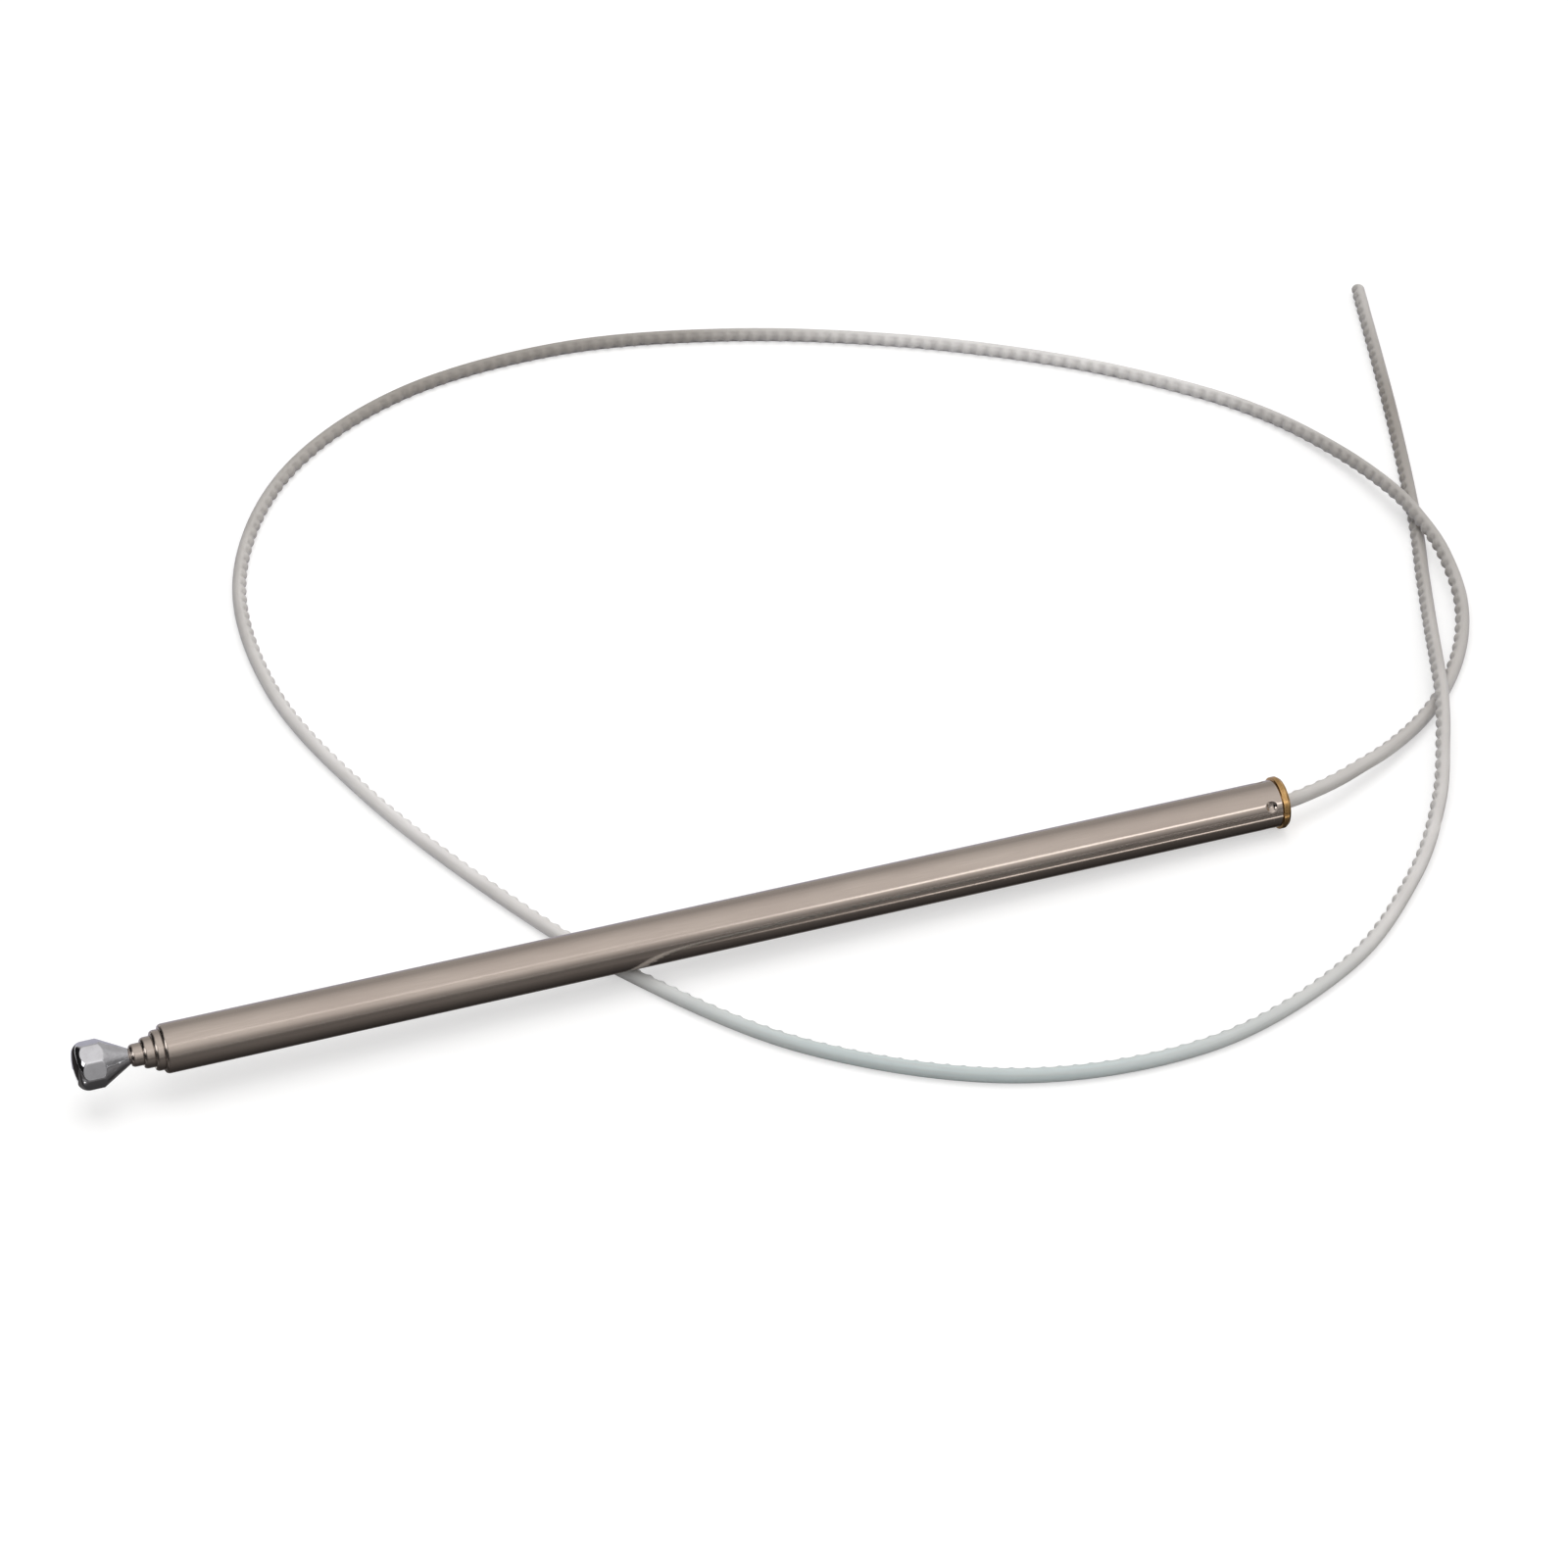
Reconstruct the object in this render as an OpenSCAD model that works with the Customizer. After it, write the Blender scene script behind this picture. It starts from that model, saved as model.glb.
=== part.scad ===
// Replacement mast of a motor-driven car aerial, with its toothed nylon drive cable.
// Four sections telescope inside a steel outer tube, staked on a brass base ferrule.
// The frame's origin lies on the mast's axis where the outer tube meets the flange.
// The mast lies on its side: its tip points to -X, and the cable leaves towards +X.

/* [Telescope: from the rod outwards] */
// Diameter of the solid tip rod
rod_d = 3.2; // [2.8:0.1:4]
// Room round the rod inside the upper tube
upper_room = 0.35; // [0.35:0.05:0.8]
// Room round the upper tube inside the middle tube
middle_room = 0.5; // [0.4:0.05:0.9]
// Room round the middle tube inside the lower tube
lower_room = 0.6; // [0.4:0.05:0.9]
// Room round the lower tube inside the outer tube
outer_room = 0.5; // [0.4:0.05:0.9]
// Wall of the three sliding tubes
section_wall = 0.35; // [0.3:0.05:0.5]
// Wall of the outer tube
outer_wall = 0.4; // [0.3:0.05:0.6]
// Length of the outer tube, from the flange to its mouth
tube_length = 237.3; // [180:0.1:320]
// How far the lower tube stands out of the outer tube when the mast is in
lower_step = 1.8; // [1.2:0.1:6]
// How far the middle tube stands out of the lower tube
middle_step = 2.15; // [1.2:0.05:6]
// How far the upper tube stands out of the middle tube
upper_step = 2.35; // [1.2:0.05:6]
// Depth of the rolled lip in each mouth
lip_depth = 1; // [0.6:0.1:2]
// How far the rolled edge round each mouth goes in
roll_width = 0.6; // [0.3:0.05:0.6]
// Length of that rolled edge
roll_length = 0.9; // [0.4:0.1:1]

/* [Fittings on each foot] */
// Height of a guide bush
bush_length = 4; // [2:0.5:10]
// Chamfer round a guide bush's rims
bush_chamfer = 0.12; // [0.05:0.01:0.15]
// Height of a contact spring
spring_length = 8; // [4:0.5:14]
// Thickness of the contact spring's strip
spring_strip = 0.12; // [0.08:0.02:0.2]
// Number of slots round a contact spring
spring_slots = 6; // [4:1:8]
// Width of those slots
slot_width = 0.5; // [0.2:0.1:0.8]
// Height of the closed band at each end of a contact spring
spring_band = 1.2; // [0.6:0.1:1.6]
// Height of a stop collar
collar_length = 2; // [1:0.5:5]

/* [Tip knob] */
// Diameter of the round bar that the knob is turned from
knob_d = 9.85; // [8:0.05:14]
// Width across the flats milled on its band
knob_flats = 9.2; // [7:0.1:14]
// Height of the domed end
dome_height = 2.7; // [2.5:0.1:4]
// Radius of the dome's rounded edge
dome_edge = 2.4; // [1:0.1:2.6]
// Height of the band that keeps its flats at the corners
band_height = 2.7; // [2:0.1:8]
// Height of the cone between the band and the neck
cone_height = 5.8; // [3:0.1:12]
// Diameter of the neck
neck_d = 3.4; // [3:0.1:4.5]
// Gap between the neck and the upper tube's mouth
neck_gap = 0.2; // [0.2:0.1:1]
// Diameter of the rod's two tenons
tenon_d = 2; // [1.4:0.1:2.4]
// Length of the tenon in the knob
knob_tenon = 7; // [3:0.5:8]
// How far the flats are turned about the mast
knob_turn = 1; // [0:0.5:45]

/* [Base ferrule] */
// How far the flange stands out past the outer tube
flange_rim = 0.5; // [0.3:0.1:2]
// Length of the flange's round band
flange_band = 1; // [0.6:0.1:4]
// Length of the bevel behind the band
flange_bevel = 0.6; // [0.3:0.1:1]
// How far that bevel goes in
bevel_width = 0.4; // [0.2:0.1:1]
// Length of the spigot inside the outer tube
spigot_length = 8; // [6:0.5:14]
// Diameter of the ferrule's bore for the cable
cable_bore = 3.8; // [3.6:0.1:4.4]
// Distance of the stakes from the flange
stake_place = 2.5; // [2:0.1:4]
// Diameter of a stake where it dents the tube
stake_d = 2.3; // [1.4:0.1:2.6]
// Radius of the punch that made the stakes
punch_radius = 1.5; // [1.3:0.05:2]
// Number of stakes
stakes = 4; // [2:1:6]
// How far the first stake is turned from the top, towards the front
stake_turn = 56.5; // [0:0.5:90]

/* [Drive cable] */
// Diameter of the nylon cable
cable_d = 3.2; // [2.6:0.1:3.4]
// How deep the free cable starts inside the ferrule
cable_inset = 1; // [0.5:0.1:3]
// Length of cable that runs straight from its start
cable_straight = 3.8; // [3.2:0.1:6]
// Length of cable held by the coupling
coupling_grip = 6.5; // [3:0.5:12]
// Length of the rod's tenon in the coupling
coupling_tenon = 3.5; // [2:0.5:8]

/* [Clearances] */
// Gap between sliding fits, all round
slide_gap = 0.05; // [0.03:0.01:0.1]
// Gap between pieces fastened to each other
seat_gap = 0.02; // [0.01:0.01:0.04]
// Gap between pieces that meet end to end
end_gap = 0.3; // [0.2:0.05:0.5]
// Gap between the outer tube and the cable that passes under it
crossing_gap = 0.2; // [0.1:0.05:0.5]

/* [Hidden] */
$fn = 64;
overcut = 1; // how far a cutting tool reaches past what it cuts
knob_sides = 8;

// Radii of the nested tubes, worked out from the rod outwards
rod_r = rod_d / 2;
upper_bore_r = rod_r + upper_room;
upper_r = upper_bore_r + section_wall;
middle_bore_r = upper_r + middle_room;
middle_r = middle_bore_r + section_wall;
lower_bore_r = middle_r + lower_room;
lower_r = lower_bore_r + section_wall;
outer_bore_r = lower_r + outer_room;
outer_r = outer_bore_r + outer_wall;
flange_r = outer_r + flange_rim;
cable_r = cable_d / 2;
// The punch's round nose and the dent it pushes in, where they stood at their deepest
punch_r = outer_r + sqrt(pow(punch_radius, 2) - pow(stake_d / 2, 2));
dent_radius = punch_radius + outer_wall;

// Heights along the mast, from the flange's shoulder towards the tip
foot_z = spigot_length + end_gap;
spring_z = foot_z + bush_length + end_gap;
collar_z = spring_z + spring_length + end_gap;
lower_mouth = tube_length + lower_step;
middle_mouth = lower_mouth + middle_step;
upper_mouth = middle_mouth + upper_step;
neck_z = upper_mouth + neck_gap;
coupling_top = foot_z + coupling_grip + coupling_tenon;
tip_spring_z = coupling_top + end_gap;
tip_collar_z = tip_spring_z + spring_length + end_gap;
flange_length = flange_band + flange_bevel;
cable_start = -(flange_length - cable_inset);

// How far each section slides before its stop collar meets the rolled lip above it
lower_travel = tube_length - lip_depth - collar_z - collar_length - end_gap;
middle_travel = lower_mouth - lip_depth - collar_z - collar_length - end_gap;
upper_travel = middle_mouth - lip_depth - collar_z - collar_length - end_gap;
tip_travel = upper_mouth - lip_depth - tip_collar_z - collar_length - end_gap;
echo(travel = [lower_travel, middle_travel, upper_travel, tip_travel]);

// The mast rests on the flange's rim and on the cable that passes under it
cable_crossing = 141; // from the flange, where the route below goes under the mast
tilt = asin((cable_d + crossing_gap + outer_r - flange_r) / (cable_crossing + flange_band));
floor_z = -(flange_r * cos(tilt) + flange_band * sin(tilt));
echo(tilt = tilt, floor_z = floor_z);

// Finishes
steel = [0.72, 0.67, 0.62];
chrome = [0.86, 0.87, 0.9];
brass = [0.79, 0.6, 0.3];
bronze = [0.72, 0.48, 0.28];
nylon = [0.88, 0.89, 0.88];

// ---- The drive cable's route ----
cable_sides = 8;
rings_per_span = 2;
// A point on the mast's axis, as the route gives its points
function on_axis(z) = [-z * cos(tilt), 0, z * sin(tilt) - floor_z];
// The cable leaves the ferrule straight, and then lies in one loop under the mast
cable_exit = [cable_start, cable_start - cable_straight];
// Each point is [x, y, height of the cable's middle above the floor]
loop_points = [
    [14, 2.8, 4.9], [22, 6.4, 4.2], [32, 11.7, 3.1], [43, 19.6, 1.9], [53, 29, 1.6],
    [62, 41, 2], [68, 54, 3.4], [71, 69, 4.7], [71.5, 82, 5.1], [70.6, 96, 4.7],
    [66.5, 116, 3], [58, 137, 1.7], [44, 155, 1.6], [21, 176, 1.6], [-11, 197, 1.6],
    [-49, 214, 1.6], [-89, 222.5, 1.6], [-129, 217, 1.6], [-162, 195, 1.6],
    [-182, 159, 1.6], [-185.5, 117, 1.6], [-176, 75, 1.6], [-159, 32.5, 1.6],
    [-141, -1, 1.6], [-115, -34, 1.6], [-79, -56.5, 1.6], [-40, -61, 1.6],
    [-5, -48.5, 1.6], [19, -28, 1.7], [34, -8, 2.5], [43, 9.5, 4.4], [48.5, 22, 5.1],
    [52.5, 33, 4.8], [58, 48, 3], [65, 67, 1.7], [73, 89, 1.6], [85.5, 129, 1.6],
    [100, 180, 1.6]
];
route = concat([for (z = cable_exit) on_axis(z)], loop_points);
last = len(route) - 1;
// One point before the route and one past it, so that its ends run straight
before = on_axis(2 * cable_exit[0] - cable_exit[1]);
beyond = 2 * route[last] - route[last - 1];
path = concat([before], route, [beyond]);

function spline(a, b, c, d, t) =
    (2 * b + (c - a) * t + (2 * a - 5 * b + 4 * c - d) * t * t
    + (3 * b - a - 3 * c + d) * t * t * t) / 2;
// The cable lies on the floor and never below it
function laid(p) = [p.x, p.y, max(p.z, cable_r) + floor_z];
middles = [
    for (i = [0:last - 1])
        for (k = [0:rings_per_span - 1])
            laid(spline(path[i], path[i + 1], path[i + 2], path[i + 3], k / rings_per_span)),
    laid(route[last])
];
rings = len(middles);
function unit(v) = v / norm(v);
function heading(i) =
    i == 0 ? unit(on_axis(-1) - on_axis(0))
    : unit(middles[min(i + 1, rings - 1)] - middles[i - 1]);
function ring(i) =
    let (along = heading(i), side = unit(cross(along, [0, 0, 1])), up = cross(side, along))
    [for (k = [0:cable_sides - 1])
        let (turn = 360 * k / cable_sides)
        middles[i] + cable_r * (cos(turn) * side + sin(turn) * up)];
function run(i, to) = i >= to ? 0 : norm(middles[i + 1] - middles[i]) + run(i + 1, to);
echo(cable_length = run(0, rings - 1), rings = rings);

// ---- Shapes that repeat ----

// Stands a piece, drawn upright about Z, on the mast's tilted axis
module on_mast() {
    rotate([0, tilt - 90, 0]) children();
}

// A plain sleeve between two heights
module sleeve(inner_r, outer_r, from, height) {
    translate([0, 0, from])
        difference() {
            cylinder(r = outer_r, h = height);
            translate([0, 0, -overcut])
                cylinder(r = inner_r, h = height + 2 * overcut);
        }
}

// A drawn tube whose mouth is rolled in to guide the tube or rod inside it
module rolled_tube(tube_r, bore_r, guest_r, from, mouth) {
    lip_r = guest_r + slide_gap;
    edge_r = min(roll_width, tube_r - lip_r - seat_gap);
    edge = [for (a = [0:15:90])
        [tube_r - edge_r * (1 - cos(a)), mouth - roll_length * (1 - sin(a))]];
    rotate_extrude()
        polygon(concat(
            [[bore_r, from], [tube_r, from]],
            edge,
            [[lip_r, mouth], [lip_r, mouth - lip_depth], [bore_r, mouth - lip_depth]]
        ));
}

// A sleeve on a tube's foot that slides in the next bore, with its rims eased
module guide_bush(tube_r, bore_r) {
    inner = tube_r + seat_gap;
    outer = bore_r - slide_gap;
    top = foot_z + bush_length;
    rotate_extrude()
        polygon([
            [inner, foot_z], [outer - bush_chamfer, foot_z], [outer, foot_z + bush_chamfer],
            [outer, top - bush_chamfer], [outer - bush_chamfer, top], [inner, top]
        ]);
}

// A slotted sleeve of thin strip, bowed so that it touches the next bore
module contact_spring(tube_r, bore_r, from) {
    steps = 8;
    inner = tube_r + seat_gap;
    bow = bore_r - slide_gap - spring_strip - inner;
    inside = [for (k = [0:steps])
        [inner + bow * sin(180 * k / steps), from + spring_length * k / steps]];
    outside = [for (k = [steps:-1:0]) inside[k] + [spring_strip, 0]];
    slot_height = spring_length - 2 * spring_band;
    difference() {
        rotate_extrude() polygon(concat(inside, outside));
        for (k = [0:spring_slots - 1])
            rotate([0, 0, 360 * k / spring_slots])
                translate([0, -slot_width / 2, from + spring_band])
                    cube([bore_r + overcut, slot_width, slot_height]);
    }
}

// A ring crimped on a tube, that meets the rolled lip when the section is out
module stop_collar(tube_r, bore_r, from) {
    sleeve(tube_r + seat_gap, bore_r - slide_gap, from, collar_length);
}

// ---- Fixed base ----

module outer_tube() {
    color(steel) on_mast()
        difference() {
            union() {
                rolled_tube(outer_r, outer_bore_r, lower_r, seat_gap, tube_length);
                intersection() {
                    at_stakes() sphere(r = dent_radius);
                    cylinder(r = outer_bore_r + outer_wall / 2, h = spigot_length);
                }
            }
            at_stakes() sphere(r = punch_radius);
        }
}

// The places of the punch round the tube's foot
module at_stakes() {
    for (k = [0:stakes - 1])
        rotate([0, 0, 360 * k / stakes - stake_turn])
            translate([punch_r, 0, stake_place]) children();
}

module base_ferrule() {
    spigot_r = outer_bore_r - seat_gap;
    groove_r = punch_r - dent_radius - end_gap;
    groove_half = sqrt(pow(dent_radius, 2) - pow(punch_r - outer_bore_r, 2)) + end_gap;
    color(brass) on_mast()
        rotate_extrude()
            polygon([
                [cable_bore / 2, -flange_length], [flange_r - bevel_width, -flange_length],
                [flange_r, -flange_band], [flange_r, 0], [spigot_r, 0],
                [spigot_r, stake_place - groove_half], [groove_r, stake_place - groove_half],
                [groove_r, stake_place + groove_half], [spigot_r, stake_place + groove_half],
                [spigot_r, spigot_length], [cable_bore / 2, spigot_length]
            ]);
}

// The free length of the toothed cable: a plain round rod, its teeth left out
module drive_cable() {
    corners = [for (i = [0:rings - 1]) each ring(i)];
    walls = [for (i = [0:rings - 2], k = [0:cable_sides - 1])
        let (next = (k + 1) % cable_sides, low = i * cable_sides, high = low + cable_sides)
        each [[low + k, low + next, high + next], [low + k, high + next, high + k]]];
    end = (rings - 1) * cable_sides;
    caps = [for (k = [1:cable_sides - 2])
        each [[0, k + 1, k], [end, end + k, end + k + 1]]];
    color(nylon) polyhedron(points = corners, faces = concat(walls, caps));
}

// ---- Lower section ----

module lower_tube() {
    color(steel) on_mast()
        rolled_tube(lower_r, lower_bore_r, middle_r, foot_z, lower_mouth);
}

module lower_guide_bush() {
    color(brass) on_mast() guide_bush(lower_r, outer_bore_r);
}

module lower_contact_spring() {
    color(bronze) on_mast() contact_spring(lower_r, outer_bore_r, spring_z);
}

module lower_stop_collar() {
    color(brass) on_mast() stop_collar(lower_r, outer_bore_r, collar_z);
}

// ---- Middle section ----

module middle_tube() {
    color(steel) on_mast()
        rolled_tube(middle_r, middle_bore_r, upper_r, foot_z, middle_mouth);
}

module middle_guide_bush() {
    color(brass) on_mast() guide_bush(middle_r, lower_bore_r);
}

module middle_contact_spring() {
    color(bronze) on_mast() contact_spring(middle_r, lower_bore_r, spring_z);
}

module middle_stop_collar() {
    color(brass) on_mast() stop_collar(middle_r, lower_bore_r, collar_z);
}

// ---- Upper section ----

module upper_tube() {
    color(steel) on_mast()
        rolled_tube(upper_r, upper_bore_r, rod_r, foot_z, upper_mouth);
}

module upper_guide_bush() {
    color(brass) on_mast() guide_bush(upper_r, middle_bore_r);
}

module upper_contact_spring() {
    color(bronze) on_mast() contact_spring(upper_r, middle_bore_r, spring_z);
}

module upper_stop_collar() {
    color(brass) on_mast() stop_collar(upper_r, middle_bore_r, collar_z);
}

// ---- Tip section ----

// A solid rod with a tenon at each end
module tip_rod() {
    color(steel) on_mast() {
        translate([0, 0, coupling_top]) cylinder(r = rod_r, h = neck_z - coupling_top);
        translate([0, 0, coupling_top - coupling_tenon])
            cylinder(d = tenon_d, h = coupling_tenon + overcut);
        translate([0, 0, neck_z - overcut]) cylinder(d = tenon_d, h = knob_tenon + overcut);
    }
}

// Turned from round bar: a dome, a band with eight flats and a cone down to the neck
module tip_knob() {
    knob_r = knob_d / 2;
    cone_z = neck_z + seat_gap;
    band_z = cone_z + cone_height;
    dome_z = band_z + band_height;
    knob_top = dome_z + dome_height;
    // The crown is a shallow arc over the rounded edge
    crown = dome_height - dome_edge;
    rim_r = knob_r - dome_edge;
    crown_r = (pow(rim_r, 2) + pow(crown, 2)) / (2 * crown);
    edge = [for (a = [0:15:90]) [rim_r + dome_edge * cos(a), dome_z + dome_edge * sin(a)]];
    cap = [for (k = [3:-1:0])
        let (r = rim_r * k / 4)
        [r, knob_top - crown_r + sqrt(pow(crown_r, 2) - pow(r, 2))]];
    color(chrome) on_mast()
        difference() {
            intersection() {
                rotate_extrude()
                    polygon(concat(
                        [[0, cone_z], [neck_d / 2, cone_z], [knob_r, band_z]], edge, cap
                    ));
                rotate([0, 0, knob_turn])
                    translate([0, 0, neck_z])
                        cylinder(
                            r = knob_flats / 2 / cos(180 / knob_sides),
                            h = knob_top - neck_z + overcut, $fn = knob_sides
                        );
            }
            translate([0, 0, neck_z - overcut])
                cylinder(d = tenon_d + 2 * seat_gap, h = knob_tenon + overcut + end_gap);
        }
}

module tip_contact_spring() {
    color(bronze) on_mast() contact_spring(rod_r, upper_bore_r, tip_spring_z);
}

module tip_stop_collar() {
    color(brass) on_mast() stop_collar(rod_r, upper_bore_r, tip_collar_z);
}

// A sleeve that joins the rod's tenon to the cable and guides the rod's foot
module cable_coupling() {
    color(brass) on_mast()
        difference() {
            translate([0, 0, foot_z])
                cylinder(r = upper_bore_r - slide_gap, h = coupling_grip + coupling_tenon - seat_gap);
            translate([0, 0, foot_z - overcut])
                cylinder(r = cable_r + seat_gap, h = coupling_grip + overcut);
            translate([0, 0, foot_z])
                cylinder(d = tenon_d + 2 * seat_gap, h = coupling_grip + coupling_tenon + overcut);
        }
}

// The cable's end inside the mast: it runs through the ferrule into the coupling
module drive_cable_core() {
    core_start = cable_start + end_gap;
    color(nylon) on_mast()
        translate([0, 0, core_start])
            cylinder(r = cable_r, h = foot_z + coupling_grip - end_gap - core_start);
}

outer_tube();
base_ferrule();
drive_cable();
lower_tube();
lower_guide_bush();
lower_contact_spring();
lower_stop_collar();
middle_tube();
middle_guide_bush();
middle_contact_spring();
middle_stop_collar();
upper_tube();
upper_guide_bush();
upper_contact_spring();
upper_stop_collar();
tip_rod();
tip_knob();
tip_contact_spring();
tip_stop_collar();
cable_coupling();
drive_cable_core();
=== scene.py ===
# %% [markdown]
# # A telescopic aerial mast and its toothed drive cable
#
# The object is a spare part of a motor-driven car aerial. Four thin steel sections slide into
# one another and into a steel outer tube, which is staked on a brass ferrule. A round nylon
# cable, with teeth cut along one side, runs up inside the mast and pushes the tip out. The free
# length of the cable lies in one big loop under the mast.
#
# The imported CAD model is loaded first. It is the frame that every piece below is built in, in
# metres, and Blender never moves it.

# %% Load the frame and keep its box
import math

import bmesh
import bpy
from mathutils import Matrix, Vector


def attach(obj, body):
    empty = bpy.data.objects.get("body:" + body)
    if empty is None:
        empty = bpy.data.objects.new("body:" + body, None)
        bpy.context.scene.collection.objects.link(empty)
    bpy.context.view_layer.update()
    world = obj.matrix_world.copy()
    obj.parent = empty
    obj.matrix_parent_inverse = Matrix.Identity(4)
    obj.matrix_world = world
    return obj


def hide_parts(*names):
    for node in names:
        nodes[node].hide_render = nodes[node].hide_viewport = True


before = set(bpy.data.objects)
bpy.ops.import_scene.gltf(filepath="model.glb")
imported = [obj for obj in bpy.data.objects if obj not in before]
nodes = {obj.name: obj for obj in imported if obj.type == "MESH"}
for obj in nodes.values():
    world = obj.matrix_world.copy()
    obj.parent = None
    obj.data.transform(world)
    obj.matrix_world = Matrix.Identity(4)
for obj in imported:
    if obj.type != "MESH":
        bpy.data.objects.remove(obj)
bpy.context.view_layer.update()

MM = 0.001
print("nodes in the frame:", len(nodes))

# %% [markdown]
# ## Where the mast stands
#
# The mast lies on its side. It rests on the rim of its flange and, further along, on the cable
# that passes under it, so its axis rises a little towards the tip. Every turned piece is drawn
# standing on its foot, round the Z axis, and one matrix lays it on that tilted axis.

# %% The mast's axis and the floor
CABLE_R = 1.6
OUTER_R = 5.0
FLANGE_R = 5.5
FLANGE_BAND = 1.0
CROSSING = 141.0
CROSSING_GAP = 0.2
rise = 2 * CABLE_R + CROSSING_GAP + OUTER_R - FLANGE_R
tilt = math.asin(rise / (CROSSING + FLANGE_BAND))
floor_z = -(FLANGE_R * math.cos(tilt) + FLANGE_BAND * math.sin(tilt))
lay_down = Matrix.Scale(MM, 4) @ Matrix.Rotation(tilt - math.radians(90), 4, "Y")
print("the axis rises by", round(math.degrees(tilt), 3), "degrees")
print("the floor is at", round(floor_z, 3), "mm")

# %% [markdown]
# ## The camera
#
# It stands in front of the mast, to the left of its tip, and looks down at it through a long
# lens. The three directions below are the camera's own axes before it is rolled by a degree and
# a half, as a camera held by hand often is.

# %% Set up the camera
eye = Vector((-0.34888, -0.73591, 0.65062))
ahead = Vector((0.24413, 0.74383, -0.62219)).normalized()
level_right = ahead.cross(Vector((0, 0, 1))).normalized()
level_up = level_right.cross(ahead)
roll = math.radians(-1.477)
right = math.cos(roll) * level_right + math.sin(roll) * level_up
up = math.cos(roll) * level_up - math.sin(roll) * level_right
camera_data = bpy.data.cameras.new("camera")
camera_data.sensor_width = 36.0
camera_data.lens = 114.32
camera_data.clip_start = 0.05
camera_data.clip_end = 50.0
camera = bpy.data.objects.new("camera", camera_data)
camera.matrix_world = Matrix.Translation(eye) @ Matrix((right, up, -ahead)).transposed().to_4x4()
bpy.context.scene.collection.objects.link(camera)
bpy.context.scene.camera = camera
print("camera", round(eye.length, 3), "m from the flange")

# %% [markdown]
# ## The cable's route
#
# A drive cable is a fixed length of springy nylon. This one leaves the ferrule straight, sinks
# to the floor, passes under its own tail and then over it, and lies in one loop that passes
# under the mast. The points are the ones that the CAD source uses, in millimetres, with the
# last number as the height of the cable's middle above the floor. A Catmull-Rom curve goes
# through them all.

# %% The points of the route
straight_heights = [-0.6, -4.4]
loop_points = [
    (14, 2.8, 4.9), (22, 6.4, 4.2), (32, 11.7, 3.1), (43, 19.6, 1.9), (53, 29, 1.6),
    (62, 41, 2), (68, 54, 3.4), (71, 69, 4.7), (71.5, 82, 5.1), (70.6, 96, 4.7),
    (66.5, 116, 3), (58, 137, 1.7), (44, 155, 1.6), (21, 176, 1.6), (-11, 197, 1.6),
    (-49, 214, 1.6), (-89, 222.5, 1.6), (-129, 217, 1.6), (-162, 195, 1.6),
    (-182, 159, 1.6), (-185.5, 117, 1.6), (-176, 75, 1.6), (-159, 32.5, 1.6),
    (-141, -1, 1.6), (-115, -34, 1.6), (-79, -56.5, 1.6), (-40, -61, 1.6),
    (-5, -48.5, 1.6), (19, -28, 1.7), (34, -8, 2.5), (43, 9.5, 4.4), (48.5, 22, 5.1),
    (52.5, 33, 4.8), (58, 48, 3), (65, 67, 1.7), (73, 89, 1.6), (85.5, 129, 1.6),
    (100, 180, 1.6),
]


def on_axis(height):
    """A point on the mast's axis, with its height above the floor last."""
    return Vector((-height * math.cos(tilt), 0, height * math.sin(tilt) - floor_z))


route = [on_axis(h) for h in straight_heights] + [Vector(p) for p in loop_points]
before = on_axis(2 * straight_heights[0] - straight_heights[1])
beyond = 2 * route[-1] - route[-2]
print("route points:", len(route))

# %% Draw a smooth curve through them
SPAN_STEPS = 16


def between(a, b, c, d, t):
    """The Catmull-Rom point at share t of the span from b to c."""
    squared = (2 * a - 5 * b + 4 * c - d) * t**2
    cubed = (3 * b - a - 3 * c + d) * t**3
    return (2 * b + (c - a) * t + squared + cubed) / 2


def laid(p):
    """The cable lies on the floor and never in it; the result is in metres, in the frame."""
    return Vector((p.x, p.y, max(p.z, CABLE_R) + floor_z)) * MM


knots = [before, *route, beyond]
cable_line = [
    laid(between(*knots[i:i + 4], k / SPAN_STEPS))
    for i in range(len(route) - 1)
    for k in range(SPAN_STEPS)
]
cable_line.append(laid(route[-1]))
cable_length = sum((b - a).length for a, b in zip(cable_line, cable_line[1:]))
print("cable length in mm:", round(cable_length / MM, 1))

# %% [markdown]
# ## A helper for node trees
#
# Trees are easier to read when each step takes one line: `add` makes a node, sets its options
# and plugs its inputs, and gives the node back.

# %% Add a node and plug it in
def add(tree, kind, inputs=None, **options):
    """A new node; an input is given by name or number, as an output to link or a plain value."""
    made = tree.nodes.new(kind)
    for option, value in options.items():
        setattr(made, option, value)
    for key, value in (inputs or {}).items():
        if isinstance(value, bpy.types.NodeSocket):
            tree.links.new(value, made.inputs[key])
        else:
            made.inputs[key].default_value = value
    return made


def sums(tree, operation, *values):
    """A Math node's result."""
    return add(tree, "ShaderNodeMath", dict(enumerate(values)), operation=operation).outputs[0]


def vectors(tree, operation, *values):
    """A Vector Math node's result: a number for a dot product, and a vector for the rest."""
    made = add(tree, "ShaderNodeVectorMath", dict(enumerate(values)), operation=operation)
    return made.outputs["Value" if operation == "DOT_PRODUCT" else "Vector"]


def scaled(tree, vector, factor):
    """A vector times a number."""
    made = add(tree, "ShaderNodeVectorMath", {0: vector, "Scale": factor}, operation="SCALE")
    return made.outputs["Vector"]


print("helpers for node trees are ready")

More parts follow.
